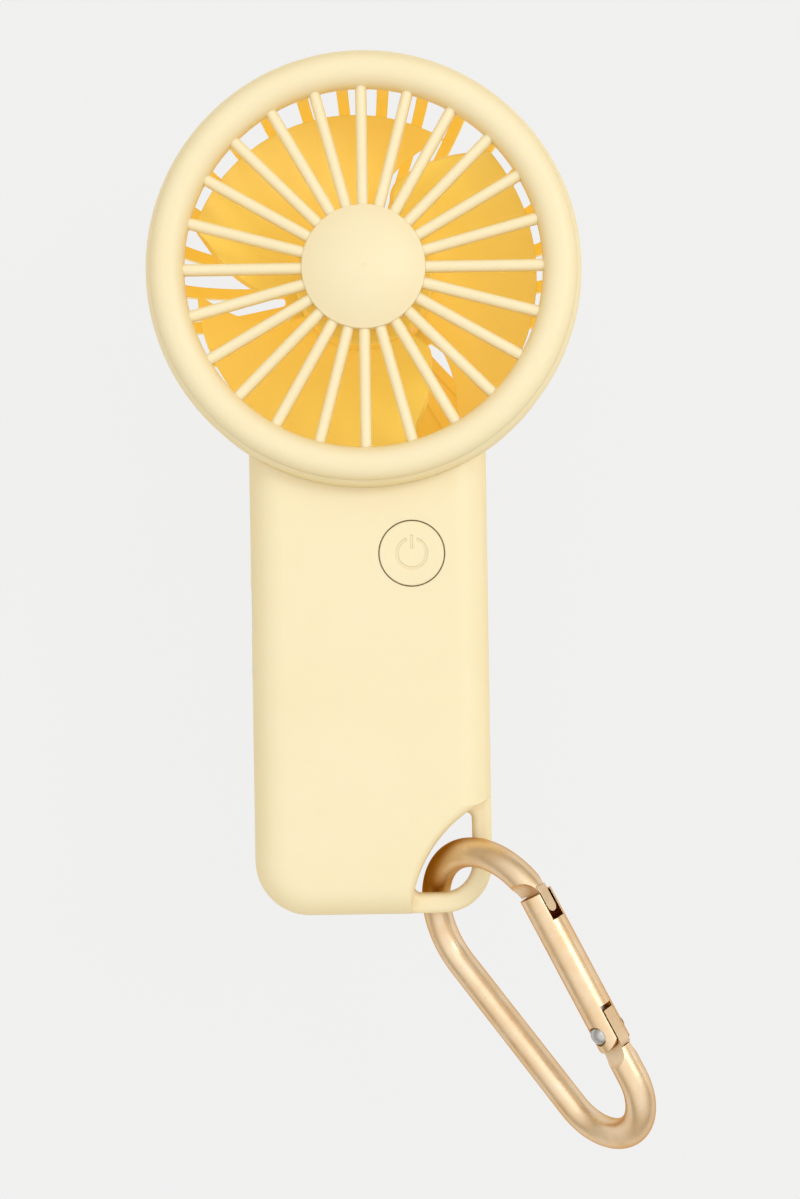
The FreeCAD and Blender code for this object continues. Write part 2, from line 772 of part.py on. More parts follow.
def stator_insulators():
    neck = TOOTH_NECK + 0.1
    hub_r = STATOR_HUB_R - 0.2
    front = tooth_shape(-STATOR_HALF - INSULATOR_T, -STATOR_HALF, neck, hub_r, 0.2)
    back = tooth_shape(STATOR_HALF, STATOR_HALF + INSULATOR_T, neck, hub_r, 0.2)
    return Part.makeCompound([front, back])


def stator_windings():
    coils = []
    for i in range(TEETH):
        z0 = HEAD_Z + COIL_INNER_R
        z1 = HEAD_Z + COIL_OUTER_R
        coil = box(-COIL_HALF_W, COIL_HALF_W, -COIL_HALF_L, COIL_HALF_L, z0, z1)
        rims = [e for e in coil.Edges if e.BoundBox.ZLength > 1]
        coil = coil.makeFillet(0.9, rims)
        half_w = TOOTH_NECK + 0.12
        half_l = STATOR_HALF + INSULATOR_T + 0.02
        coil = coil.cut(box(-half_w, half_w, -half_l, half_l, z0 - 1, z1 + 1))
        coils.append(around_head(coil, 360.0 * i / TEETH))
    return Part.makeCompound(coils)


def motor_board():
    board = ring_y(BOARD_R, 4.6, BOARD_FRONT, BOARD_FRONT + BOARD_T)
    holes = [rod_y(MOTOR_SCREW_R + 0.25, BOARD_FRONT - 1, BOARD_FRONT + 2, x, z) for x, z in motor_screw_places()]
    return board.cut(holes)


def motor_board_parts():
    driver = box(-2.0, 2.0, BOARD_FRONT - 0.9, BOARD_FRONT, HEAD_Z - 10.2, HEAD_Z - 6.2)
    sensor = box(-8.6, -6.2, BOARD_FRONT - 0.8, BOARD_FRONT, HEAD_Z - 0.9, HEAD_Z + 0.9)
    capacitor = box(6.4, 9.0, BOARD_FRONT - 1.0, BOARD_FRONT, HEAD_Z - 0.8, HEAD_Z + 0.8)
    return Part.makeCompound([driver, sensor, capacitor])


def small_screw(x, z, head_r, shank_r, head_top, seat, tip):
    # A pan head screw along Y with a drive cross sunk in its head's top.
    low, high = sorted((head_top, seat))
    head = rod_y(head_r, low, high, x, z)
    rim = [e for e in head.Edges if abs(e.BoundBox.YMin - head_top) < 0.001 and e.BoundBox.YLength < 0.001]
    head = head.makeFillet(0.3, rim)
    low, high = sorted((seat, tip))
    shank = rod_y(shank_r, low, high, x, z)
    y0 = head_top - 0.5
    y1 = head_top + 0.5
    cross = box(x - 0.2, x + 0.2, y0, y1, z - 0.9, z + 0.9)
    cross = cross.fuse(box(x - 0.9, x + 0.9, y0, y1, z - 0.2, z + 0.2))
    return head.fuse(shank).cut(cross)


def motor_screws():
    screws = []
    for x, z in motor_screw_places():
        screws.append(small_screw(x, z, 1.6, MOTOR_SCREW_R, BOARD_FRONT - 1.0, BOARD_FRONT, TUBE_BACK))
    return Part.makeCompound(screws)


# ---------------------------------------------------------------- button and electronics

def power_button():
    cap_r = BUTTON_R - BUTTON_GAP
    cap = rod_y(cap_r, HANDLE_FRONT, FLANGE_FRONT, BUTTON_X, BUTTON_Z)
    rim = [e for e in cap.Edges if e.BoundBox.YMax < HANDLE_FRONT + 0.001]
    cap = cap.makeFillet(0.25, rim)
    flange = rod_y(BUTTON_R + 0.8, FLANGE_FRONT, FLANGE_BACK, BUTTON_X, BUTTON_Z)
    return cap.fuse(flange).removeSplitter().cut(power_symbol(HANDLE_FRONT, 0.18))


def power_symbol(y, depth):
    # Broken circle with a short bar through its gap.
    ring = ring_y(3.0, 2.55, y - 0.5, y + depth, BUTTON_X, BUTTON_Z)
    gap = box(BUTTON_X - 1.0, BUTTON_X + 1.0, y - 1, y + 1, BUTTON_Z, BUTTON_Z + 4)
    bar = box(BUTTON_X - 0.22, BUTTON_X + 0.22, y - 0.5, y + depth, BUTTON_Z + 0.9, BUTTON_Z + 3.4)
    return ring.cut(gap).fuse(bar)


def switch_plunger():
    return rod_y(0.8, FLANGE_BACK, PCB_FRONT - 0.45, BUTTON_X, BUTTON_Z)


def switch_body():
    y0 = PCB_FRONT - SWITCH_H
    half = SWITCH_HALF_W
    body = box(BUTTON_X - half, BUTTON_X + half, y0, PCB_FRONT, BUTTON_Z - half, BUTTON_Z + half)
    return body.cut(rod_y(0.85, y0 - 1, PCB_FRONT + 1, BUTTON_X, BUTTON_Z))


def main_board():
    board = box(-PCB_HALF_W, PCB_HALF_W, PCB_FRONT, PCB_BACK, PCB_BOTTOM, PCB_TOP)
    tab = box(PCB_TAB_LEFT, 0.2 - PCB_HALF_W, PCB_FRONT, PCB_BACK, PCB_BOTTOM, PCB_TAB_TOP)
    board = board.fuse(tab).removeSplitter()
    holes = [boss(x, z, 0.95, PCB_FRONT - 1, PCB_BACK + 1) for x, z in PCB_SCREWS]
    return board.cut(holes)


def board_components():
    back = PCB_BACK
    inductor = box(-4.0, 1.0, back, back + 2.2, 50.0, 55.0)
    charger = box(-5.0, -1.0, back, back + 1.1, 58.5, 62.5)
    controller = box(3.0, 8.0, back, back + 1.2, 58.0, 63.0)
    parts = [inductor, charger, controller]
    for i in range(4):
        z = 50.0 + 2.2 * i
        parts.append(box(4.0, 5.6, back, back + 0.8, z, z + 0.9))
    return Part.makeCompound(parts)


def usb_receptacle():
    half_h = USB_H / 2
    y_mid = PCB_BACK + half_h
    half_w = USB_HALF_W - half_h
    x0 = -HANDLE_HALF_W + 0.2
    x1 = x0 + 7.3

    def stadium(radius, a, b):
        body = box(a, b, y_mid - radius, y_mid + radius, USB_Z - half_w, USB_Z + half_w)
        for side in (-1, 1):
            end = Part.makeCylinder(radius, b - a, V(a, y_mid, USB_Z + side * half_w), V(1, 0, 0))
            body = body.fuse(end)
        return body.removeSplitter()

    return stadium(half_h, x0, x1).cut(stadium(half_h - 0.3, x0 - 1, x1 - 0.8))


def usb_tongue():
    y_mid = PCB_BACK + USB_H / 2
    x0 = -HANDLE_HALF_W + 0.9
    x1 = -HANDLE_HALF_W + 0.2 + 6.5
    return box(x0, x1, y_mid - 0.35, y_mid + 0.35, USB_Z - 3.3, USB_Z + 3.3)


def light_pipe():
    inner_end = -HANDLE_HALF_W + LIGHT_PIPE_LENGTH
    lens = led_hole(0.9, -HANDLE_HALF_W + 0.1, inner_end)
    flange = led_hole(1.3, inner_end, inner_end + 0.5)
    return lens.fuse(flange).removeSplitter()


def charge_led():
    x0 = -HANDLE_HALF_W + LIGHT_PIPE_LENGTH + 0.6
    return box(x0, x0 + 1.2, PCB_BACK, PCB_BACK + 0.9, LED_Z - 0.9, LED_Z + 0.9)


def battery_cell():
    cell = box(-CELL_HALF_W, CELL_HALF_W, CELL_FRONT, CELL_BACK, CELL_BOTTOM, CELL_TOP)
    rims = [e for e in cell.Edges if e.BoundBox.ZLength > 10]
    return cell.makeFillet(2.0, rims)


def battery_board():
    return box(-11.0, 11.0, 3.4, 4.6, CELL_TOP + 0.2, CELL_TOP + 4.2)


def battery_pad():
    return box(-11.0, 11.0, CELL_BACK, HANDLE_BACK - WALL, CELL_BOTTOM + 5, CELL_TOP - 5)


def battery_connector():
    return box(-9.6, -2.4, PCB_BACK, PCB_BACK + 4.0, 67.5, 72.5)


def battery_wires():
    wires = []
    for x in (-7.2, -4.8):
        points = [
            V(x, -5.2, 72.6),
            V(x, -5.2, 73.6),
            V(x, -4.0, 75.6),
            V(x, -0.6, 76.6),
            V(x, 2.8, 75.6),
            V(x, 4.0, 73.8),
            V(x, 4.0, 72.8),
        ]
        wires.append(wire_along(points, BATTERY_WIRE_R))
    return Part.makeCompound(wires)


def motor_wires():
    wires = []
    for x in (-0.8, 0.8):
        points = [
            V(x, 9.5, HEAD_Z - 9.0),
            V(x, 9.5, HEAD_Z - 10.2),
            V(x, 9.5, HEAD_Z - 11.2),
            V(x, 10.2, HEAD_Z - 13.0),
            V(x, 10.6, HEAD_Z - 15.5),
            V(x, 10.62, HEAD_Z - 18.5),
            V(x, 10.6, HEAD_Z - 27.0),
            V(x, 10.6, HEAD_Z - 34.0),
            V(x, 9.4, HEAD_Z - 40.5),
            V(x, 5.5, HEAD_Z - 44.0),
            V(x, 0.0, HEAD_Z - 45.5),
            V(x, -5.6, HEAD_Z - 46.0),
            V(x, -7.12, HEAD_Z - 46.0),
        ]
        wires.append(wire_along(points, MOTOR_WIRE_R))
    return Part.makeCompound(wires)


def board_screws():
    screws = []
    for x, z in PCB_SCREWS:
        screws.append(small_screw(x, z, BOARD_SCREW_HEAD_R, BOARD_SCREW_R, PCB_BACK + 0.9, PCB_BACK, BOARD_SCREW_TIP))
    return Part.makeCompound(screws)


def handle_screws():
    screws = []
    seat = HANDLE_SCREW_SEAT
    for x, z in HANDLE_SCREWS:
        screws.append(small_screw(x, z, HANDLE_SCREW_HEAD_R, HANDLE_SCREW_R, seat + 1.3, seat, HANDLE_SCREW_TIP))
    return Part.makeCompound(screws)


# ---------------------------------------------------------------- carabiner

def carabiner_axes():
    leg = math.radians(LEG_ANGLE)
    tilt = math.radians(TILT_ANGLE)
    lean = math.radians(LEAN_ANGLE)
    across = V(math.cos(leg), 0, math.sin(leg))
    down = V(math.sin(leg), 0, -math.cos(leg))
    u = down * math.cos(tilt) + Y_AXIS * math.sin(tilt)
    v = across * math.cos(lean) + u.cross(across) * math.sin(lean)
    n = u.cross(v)
    return u, v, n


def to_fan(shape):
    # From the carabiner's own plane (u, v, n as x, y, z) to its place on the loop.
    u, v, n = carabiner_axes()
    p = LEG_POINT
    matrix = FreeCAD.Matrix(u.x, v.x, n.x, p.x, u.y, v.y, n.y, p.y, u.z, v.z, n.z, p.z, 0, 0, 0, 1)
    moved = shape.copy()
    moved.Placement = FreeCAD.Placement(matrix).multiply(moved.Placement)
    return moved


def gate_line():
    # Tangent of both round ends on the gate side: its start and its slope below u.
    slope = 2 * math.asin((NOSE_R - HEEL_R) / math.hypot(HEEL_U, NOSE_R - HEEL_R))
    start = V(NOSE_R * math.sin(slope), NOSE_R + NOSE_R * math.cos(slope), 0)
    return start, slope


def on_gate(shape):
    # From the gate's own line (x along it, y outwards) to the carabiner's plane.
    start, slope = gate_line()
    moved = shape.rotated(V(0, 0, 0), V(0, 0, 1), -math.degrees(slope))
    return moved.translated(start)


def carabiner_frame():
    start, slope = gate_line()
    direction = V(math.cos(slope), -math.sin(slope), 0)
    out = V(math.sin(slope), math.cos(slope), 0)
    up = V(0, 0, 1)
    along = V(1, 0, 0)
    nose_centre = V(0, NOSE_R, 0)
    heel_centre = V(HEEL_U, HEEL_R, 0)
    nose_turn = 180 + math.degrees(slope)
    nose_end = GATE_START - GATE_GAP
    heel_end = RIVET_S + GATE_END_R + GATE_GAP
    gate_foot = start + direction * heel_end
    heel_start = heel_centre + out * HEEL_R
    leg_end = V(HEEL_U, 0, 0)
    reach = 2 * GATE_R
    nose = rod_end(start, direction).revolve(nose_centre, up, nose_turn)
    nose = nose.cut(on_gate(box(nose_end, reach, -reach, reach, -reach, reach)))
    rod = [
        nose,
        rod_end(V(0, 0, 0), along).extrude(leg_end),
        rod_end(leg_end, along).revolve(heel_centre, up, 360 - nose_turn),
        rod_end(heel_start, direction).extrude(gate_foot - heel_start),
    ]
    hollows = scoops(nose_end, NOSE_TONGUE_HALF_T) + scoops(heel_end, HEEL_TONGUE_HALF_T)
    frame = fuse([fuse(rod).cut(hollows), on_gate(nose_tongue()), on_gate(heel_tongue())])
    return frame.cut(on_gate(rivet_rod(RIVET_R + 0.05)))


def rod_end(point, direction):
    return Part.Face(Part.Wire(Part.makeCircle(ROD_R, point, direction)))


def scoops(s, half_t):
    # Hollows on both cheeks that thin the rod down to its tongue.
    depth = half_t + SCOOP_R
    return [on_gate(Part.makeCylinder(SCOOP_R, 10, V(s, -5, side * depth), Y_AXIS)) for side in (-1, 1)]


def nose_tongue():
    # A flat bar with a round tip that lies in the gate's slot.
    t = NOSE_TONGUE_HALF_T
    foot = -1.5
    bar = box(GATE_START - GATE_GAP - 1.0, NOSE_TONGUE_END - t, foot, NOSE_TONGUE_TOP, -t, t)
    tip = Part.makeCylinder(t, NOSE_TONGUE_TOP - foot, V(NOSE_TONGUE_END - t, foot, 0), Y_AXIS)
    return bar.fuse(tip)


def heel_tongue():
    # The hinge eye with its cam for the plunger, and a flap that covers the slot.
    t = HEEL_TONGUE_HALF_T
    foot = BORE_R + 0.1
    flap_end = RIVET_S + GATE_END_R - 0.6
    arm = box(RIVET_S, RIVET_S + GATE_END_R + 2.0, -1.9, HEEL_ARM_TOP, -t, t)
    flap = box(HEEL_FLAP_START, flap_end, foot, HEEL_TONGUE_TOP, -t, t)
    corner = Part.makeCylinder(HEEL_TONGUE_TOP - foot, 2 * t, V(flap_end, foot, -t))
    eye = Part.makeCylinder(CAM_R, 2 * t, V(RIVET_S, 0, -t))
    cam = Part.makeCylinder(CAM_R, 2 * t, V(RIVET_S, -CAM_OFFSET, -t))
    return fuse([arm, flap, corner, eye, cam])


def rivet_rod(radius):
    return Part.makeCylinder(radius, 10, V(RIVET_S, 0, -5))


def carabiner_gate():
    end = RIVET_S + GATE_END_R
    bar = Part.makeCylinder(GATE_R, end - GATE_START, V(GATE_START, 0, 0), V(1, 0, 0))
    rounder = Part.makeCylinder(GATE_END_R, 10, V(RIVET_S, 0, -5))
    bar = bar.common(fuse([box(GATE_START, RIVET_S, -4, 4, -4, 4), rounder]))
    bore = Part.makeCylinder(BORE_R, end - BORE_START + 1, V(BORE_START, 0, 0), V(1, 0, 0))
    nose_slot = box(GATE_START - 1, NOSE_SLOT_END, -1.6, 4, -NOSE_SLOT_HALF_T, NOSE_SLOT_HALF_T)
    heel_slot = box(HEEL_SLOT_START, end + 1, -4, 4, -HEEL_SLOT_HALF_T, HEEL_SLOT_HALF_T)
    head_r = rivet_head_radius() + 0.1
    cuts = [bore, nose_slot, heel_slot, rivet_rod(RIVET_R)]
    for z in (RIVET_SEAT, -RIVET_SEAT - 2):
        cuts.append(Part.makeCylinder(head_r, 2, V(RIVET_S, 0, z)))
    return on_gate(bar.cut(cuts))


def rivet_head_radius():
    return math.sqrt(RIVET_DOME_R ** 2 - RIVET_DOME_DROP ** 2)


def gate_rivet():
    # A plain shank with a domed head at each end, seated on the gate's two spot faces.
    shank = Part.makeCylinder(RIVET_R, 2 * RIVET_SEAT, V(RIVET_S, 0, -RIVET_SEAT))
    parts = [shank]
    for side in (-1, 1):
        ball = Part.makeSphere(RIVET_DOME_R, V(RIVET_S, 0, side * (RIVET_SEAT - RIVET_DOME_DROP)))
        z0, z1 = sorted((side * RIVET_SEAT, side * (RIVET_SEAT + 2)))
        parts.append(ball.common(Part.makeCylinder(RIVET_DOME_R + 1, z1 - z0, V(RIVET_S, 0, z0))))
    return on_gate(fuse(parts))


def gate_plunger():
    face = RIVET_S - CAM_R - 0.05
    return on_gate(Part.makeCylinder(BORE_R - 0.06, face - PLUNGER_BACK, V(PLUNGER_BACK, 0, 0), V(1, 0, 0)))


def gate_spring():
    wire_r = 0.22
    coil_r = BORE_R - 0.1 - wire_r
    height = PLUNGER_BACK - BORE_START - 2 * wire_r - 0.1
    helix = Part.makeHelix(height / 8, height, coil_r)
    section = Part.Wire(Part.makeCircle(wire_r, V(coil_r, 0, 0), V(0, 1, 0)))
    coil = Part.Wire(helix).makePipeShell([section], True, True)
    coil.rotate(V(0, 0, 0), V(0, 1, 0), 90)
    coil.translate(V(BORE_START + wire_r + 0.05, 0, 0))
    return on_gate(coil)


# ---------------------------------------------------------------- all nodes

def main():
    os.makedirs("parts", exist_ok=True)
    save("front_shell", front_shell())
    save("rear_shell", rear_shell())
    save("cable_cover", cable_cover())
    save("front_grille", front_grille())
    save("impeller", impeller())
    save("rotor_yoke", rotor_yoke())
    save("magnet_ring", magnet_ring())
    save("motor_shaft", motor_shaft())
    save("shaft_clip", shaft_clip())
    save("bearing_tube", bearing_tube())
    save("bearing_bushes", bearing_bushes())
    save("stator_core", stator_core())
    save("stator_insulators", stator_insulators())
    save("stator_windings", stator_windings())
    save("motor_board", motor_board())
    save("motor_board_parts", motor_board_parts())
    save("motor_screws", motor_screws())
    save("power_button", power_button())
    save("switch_plunger", switch_plunger())
    save("switch_body", switch_body())
    save("main_board", main_board())
    save("board_components", board_components())
    save("usb_receptacle", usb_receptacle())
    save("usb_tongue", usb_tongue())
    save("light_pipe", light_pipe())
    save("charge_led", charge_led())
    save("battery_cell", battery_cell())
    save("battery_board", battery_board())
    save("battery_pad", battery_pad())
    save("battery_connector", battery_connector())
    save("battery_wires", battery_wires())
    save("motor_wires", motor_wires())
    save("board_screws", board_screws())
    save("handle_screws", handle_screws())
    save("carabiner_frame", to_fan(carabiner_frame()))
    save("carabiner_gate", to_fan(carabiner_gate()))
    save("gate_rivet", to_fan(gate_rivet()))
    save("gate_plunger", to_fan(gate_plunger()))
    save("gate_spring", to_fan(gate_spring()))


main()
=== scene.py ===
import json
import math

import bpy
from mathutils import Matrix, Vector


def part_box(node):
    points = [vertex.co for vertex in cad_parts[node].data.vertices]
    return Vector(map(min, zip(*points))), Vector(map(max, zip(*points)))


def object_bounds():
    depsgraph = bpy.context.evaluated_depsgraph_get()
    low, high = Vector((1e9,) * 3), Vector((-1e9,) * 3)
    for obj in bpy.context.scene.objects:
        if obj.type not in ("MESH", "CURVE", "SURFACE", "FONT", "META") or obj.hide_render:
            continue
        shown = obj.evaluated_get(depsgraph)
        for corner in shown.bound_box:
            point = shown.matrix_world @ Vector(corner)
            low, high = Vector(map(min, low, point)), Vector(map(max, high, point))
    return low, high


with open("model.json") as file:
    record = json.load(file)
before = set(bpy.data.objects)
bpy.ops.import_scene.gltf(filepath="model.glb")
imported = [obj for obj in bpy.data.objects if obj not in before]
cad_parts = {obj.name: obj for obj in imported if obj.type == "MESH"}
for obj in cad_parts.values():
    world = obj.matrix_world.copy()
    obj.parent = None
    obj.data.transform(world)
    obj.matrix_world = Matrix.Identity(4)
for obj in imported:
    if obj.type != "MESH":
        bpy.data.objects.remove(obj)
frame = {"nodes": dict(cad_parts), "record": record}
cad_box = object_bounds()
nodes = frame["nodes"]

MM = 0.001

# The fan faces -Y. Its round cage is the widest and highest part of the rear shell.
shell_low, shell_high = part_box("rear_shell")
HEAD_R = (shell_high[0] - shell_low[0]) / 2
HEAD_Z = shell_high[2] - HEAD_R

# The painted amber shade, bounce light and glow inside the head: its outer limit, and how it sets in
# from the front to the back
CAGE_R = HEAD_R - 0.75 * MM
CAGE_EDGE_R = HEAD_R - 0.15 * MM
CAGE_START_Y = -14.5 * MM
CAGE_FULL_Y = -7 * MM

# The top of the handle behind the head, which is outside the cage and is kept free of the painted amber
SHOULDER_Z = HEAD_Z - 32 * MM
SHOULDER_Y = 2 * MM

# Linear colours
CREAM = (0.935, 0.825, 0.555)
# Painted shade: cream deepens to this where the surface turns away from the camera
CREAM_EDGE_SHADE = (0.92, 0.73, 0.33)
# The impeller's own colour; inside the head it is also painted on the cream as shade and bounce light
AMBER = (0.97, 0.72, 0.14)
# Painted shade on the impeller where its surface turns away from the camera
AMBER_EDGE_SHADE = (0.93, 0.56, 0.07)
GOLD = (0.89, 0.72, 0.51)
GOLD_DEEP = (0.85, 0.61, 0.36)
GOLD_EDGE = (0.72, 0.44, 0.20)
# Painted reflection and shade of the gold in nooks and near other surfaces
GOLD_NOOK_SHADE = (0.50, 0.24, 0.04)
GOLD_SPECK = (0.42, 0.30, 0.17)
GOLD_WORN = (0.95, 0.84, 0.68)
PALE = (0.876, 0.876, 0.876)

WARM_SIDE = (1.0, 0.83, 0.58)
WHITE = (1.0, 1.0, 1.0)

# Brightness of the surroundings, and the Y of the directions where the side and front ones begin
WORLD_SIDE = 0.34
WORLD_FRONT = 1.08
SIDE_Y = 0.1
FRONT_Y = -0.95

# Painted glow: emission strength that stands in for light that thin amber plastic passes on from behind
AMBER_PAINTED_GLOW = 0.16

# Soft lamps: place, width and power in watts. All point at the fan's middle.
LAMPS = {
    "key": ((0.56, -0.80, 0.34), 0.34, 1.6),
    "side": ((0.95, 0.10, 0.20), 0.50, 0.6),
    "top": ((-0.10, -0.95, 0.45), 0.60, 0.4),
}
FAN_MIDDLE = Vector((0, 0, 80 * MM))

# The pale surface behind the fan, out of the swinging clip's reach
TABLE_Y = cad_box[1][1] + 48 * MM
TABLE_HALF = 3.0
TABLE_GLOW = 0.93
TABLE_MATT = 0.06

# The camera
CAMERA_PLACE = (5.77 * MM, -341 * MM, 59.7 * MM)
CAMERA_ROLL = math.radians(0.9)
CAMERA_LENS = 52.93
CAMERA_SENSOR = 36.0

# Fineness of surface detail, in noise cells per metre
FLOW = 45.0
CLOUD = 160.0
BLOTCH = 300.0
WEAR = 420.0
SHEEN = 900.0
SPECK = 1500.0
POLISH = 2600.0
GRAIN = 5200.0

# Fine lines in metal: noise cells per metre along X, Y and Z
POLISH_LINES = (900.0, 900.0, 6000.0)
TURNED_LINES = (400.0, 5000.0, 400.0)
STAMPED_LINES = (300.0, 9000.0, 300.0)
EVEN_LINES = (700.0, 700.0, 700.0)


# ---------------------------------------------------------------- node helpers

class Nodes:
    """One material's shader nodes. A method makes one node and returns the socket it gives."""

    def __init__(self, name):
        self.material = bpy.data.materials.new(name)
        self.material.use_nodes = True
        self.tree = self.material.node_tree
        self.tree.nodes.clear()
        self.output = self.tree.nodes.new("ShaderNodeOutputMaterial")

    def add(self, kind, inputs=None, **settings):
        node = self.tree.nodes.new("ShaderNode" + kind)
        for key, value in settings.items():
            setattr(node, key, value)
        for key, value in (inputs or {}).items():
            self.put(node.inputs[key], value)
        return node

    def put(self, socket, value):
        if isinstance(value, bpy.types.NodeSocket):
            self.tree.links.new(value, socket)
        else:
            socket.default_value = value

    def position(self):
        return self.add("NewGeometry").outputs["Position"]

    def noise(self, scale, detail=3.0, rough=0.5, vector=None):
        vector = vector or self.position()
        settings = {"Vector": vector, "Scale": scale, "Detail": detail, "Roughness": rough}
        return self.add("TexNoise", settings).outputs["Fac"]

    def bands(self, scale, wander, detail=2.0):
        settings = {"Vector": self.position(), "Scale": scale, "Distortion": wander, "Detail": detail}
        node = self.add("TexWave", settings, wave_type="BANDS", bands_direction="DIAGONAL")
        return node.outputs["Fac"]

    def remap(self, value, low, high, to_low=0.0, to_high=1.0):
        ends = {"Value": value, "From Min": low, "From Max": high, "To Min": to_low, "To Max": to_high}
        return self.add("MapRange", ends).outputs["Result"]

    def maths(self, operation, a, b=0.0):
        node = self.add("Math", {0: a, 1: b}, operation=operation)
        return node.outputs[0]

    def paint(self, socket, color):
        """Puts another node's colour, or a plain one of three numbers, on a socket."""
        plain = not isinstance(color, bpy.types.NodeSocket)
        self.put(socket, (*color, 1.0) if plain else color)

    def mix(self, factor, a, b):
        node = self.add("Mix", data_type="RGBA")
        self.put(node.inputs["Factor"], factor)
        self.paint(node.inputs["A"], a)
        self.paint(node.inputs["B"], b)
        return node.outputs["Result"]

    def stretched(self, scale):
        node = self.add("Mapping", {"Vector": self.position(), "Scale": scale})
        return node.outputs["Vector"]

    def bump(self, height, strength, distance, normal=None):
        node = self.add("Bump", {"Height": height, "Strength": strength, "Distance": distance})
        if normal is not None:
            self.put(node.inputs["Normal"], normal)
        return node.outputs["Normal"]

    def soft_edges(self, radius):
        return self.add("Bevel", {"Radius": radius}, samples=4).outputs["Normal"]

    def surface(self, color, roughness, metallic=0.0, normal=None, extra=None):
        shader = self.add("BsdfPrincipled", {"Metallic": metallic})
        self.paint(shader.inputs["Base Color"], color)
        self.put(shader.inputs["Roughness"], roughness)
        if normal is not None:
            self.put(shader.inputs["Normal"], normal)
        for key, value in (extra or {}).items():
            self.put(shader.inputs[key], value)
        self.tree.links.new(shader.outputs[0], self.output.inputs["Surface"])
        return self.material


def moulded_plastic(name, color, edge_shade_color, inside_shade_color=None, roughness=0.42, glow=None):
    """Satin moulded plastic with fine spark-eroded grain and faint flow mottling.

    Where the surface turns away from the camera its colour deepens towards a darker, warmer one:
    painted shade for slightly translucent plastic.
    Inside the head it takes a second colour, if one is given, as painted shade and bounce light, with a
    painted glow in that colour. If glow is given, it has a painted glow in its own colour.
    """
    n = Nodes(name)
    mottle = n.remap(n.noise(FLOW, 4.0, 0.6), 0.35, 0.65)
    shade = tuple(c * k for c, k in zip(color, (0.99, 0.98, 0.955)))
    base = n.mix(mottle, color, shade)
    # Painted shade: darker, warmer colour where the surface turns away from the camera
    turned = n.add("LayerWeight", {"Blend": 0.5}).outputs["Facing"]
    base = n.mix(n.remap(turned, 0.15, 1.0, 0.0, 0.75), base, edge_shade_color)
    look = {
        "IOR": 1.46,
        "Subsurface Weight": 0.12,
        "Subsurface Scale": 1.0,
        "Subsurface Radius": (3 * MM, 2 * MM, 0.8 * MM),
    }
    # Painted shade, bounce light and glow inside the head, in the given colour
    if inside_shade_color is not None:
        inside = inside_shade_mask(n)
        base = n.mix(inside, base, inside_shade_color)
        look["Emission Color"] = (*inside_shade_color, 1.0)
        look["Emission Strength"] = n.maths("MULTIPLY", inside, AMBER_PAINTED_GLOW)
    # Painted glow in the plastic's own colour, though it is no lamp
    if glow is not None:
        look["Emission Color"] = (*color, 1.0)
        look["Emission Strength"] = glow
    sheen = n.remap(n.noise(SHEEN, 2.0), 0.3, 0.7, roughness - 0.04, roughness + 0.06)
    grain = n.noise(GRAIN, 2.0, 0.6)
    normal = n.bump(grain, 0.14, 0.04 * MM, n.soft_edges(0.25 * MM))
    return n.surface(base, sheen, 0.0, normal, look)


def inside_shade_mask(n):
    """Mask of the painted amber shade and glow: 1 on surfaces inside the head, apart from those that
    face back and the handle's shoulder. 0 outside it.
    """
    geometry = n.add("NewGeometry")
    offset = n.add("VectorMath", {0: geometry.outputs["Position"], 1: (0, 0, -HEAD_Z)}, operation="ADD")
    flat = n.add("VectorMath", {0: offset.outputs[0], 1: (1, 0, 1)}, operation="MULTIPLY")
    length = n.add("VectorMath", {0: flat.outputs[0]}, operation="LENGTH").outputs["Value"]
    inside = n.remap(length, CAGE_EDGE_R, CAGE_R)
    parts = n.add("SeparateXYZ", {0: geometry.outputs["Normal"]})
    forward = n.remap(parts.outputs["Y"], 0.55, -0.15)
    place = n.add("SeparateXYZ", {0: geometry.outputs["Position"]})
    behind = n.remap(place.outputs["Y"], CAGE_START_Y, CAGE_FULL_Y)
    low = n.remap(place.outputs["Z"], SHOULDER_Z + MM, SHOULDER_Z)
    rear = n.remap(place.outputs["Y"], SHOULDER_Y - MM / 2, SHOULDER_Y + MM / 2)
    upward = n.remap(parts.outputs["Z"], 0.3, 0.5)
    shoulder = n.maths("MULTIPLY", n.maths("MULTIPLY", low, rear), upward)
    amber = n.maths("MULTIPLY", n.maths("MULTIPLY", inside, forward), behind)
    return n.maths("MULTIPLY", amber, n.maths("SUBTRACT", 1.0, shoulder))


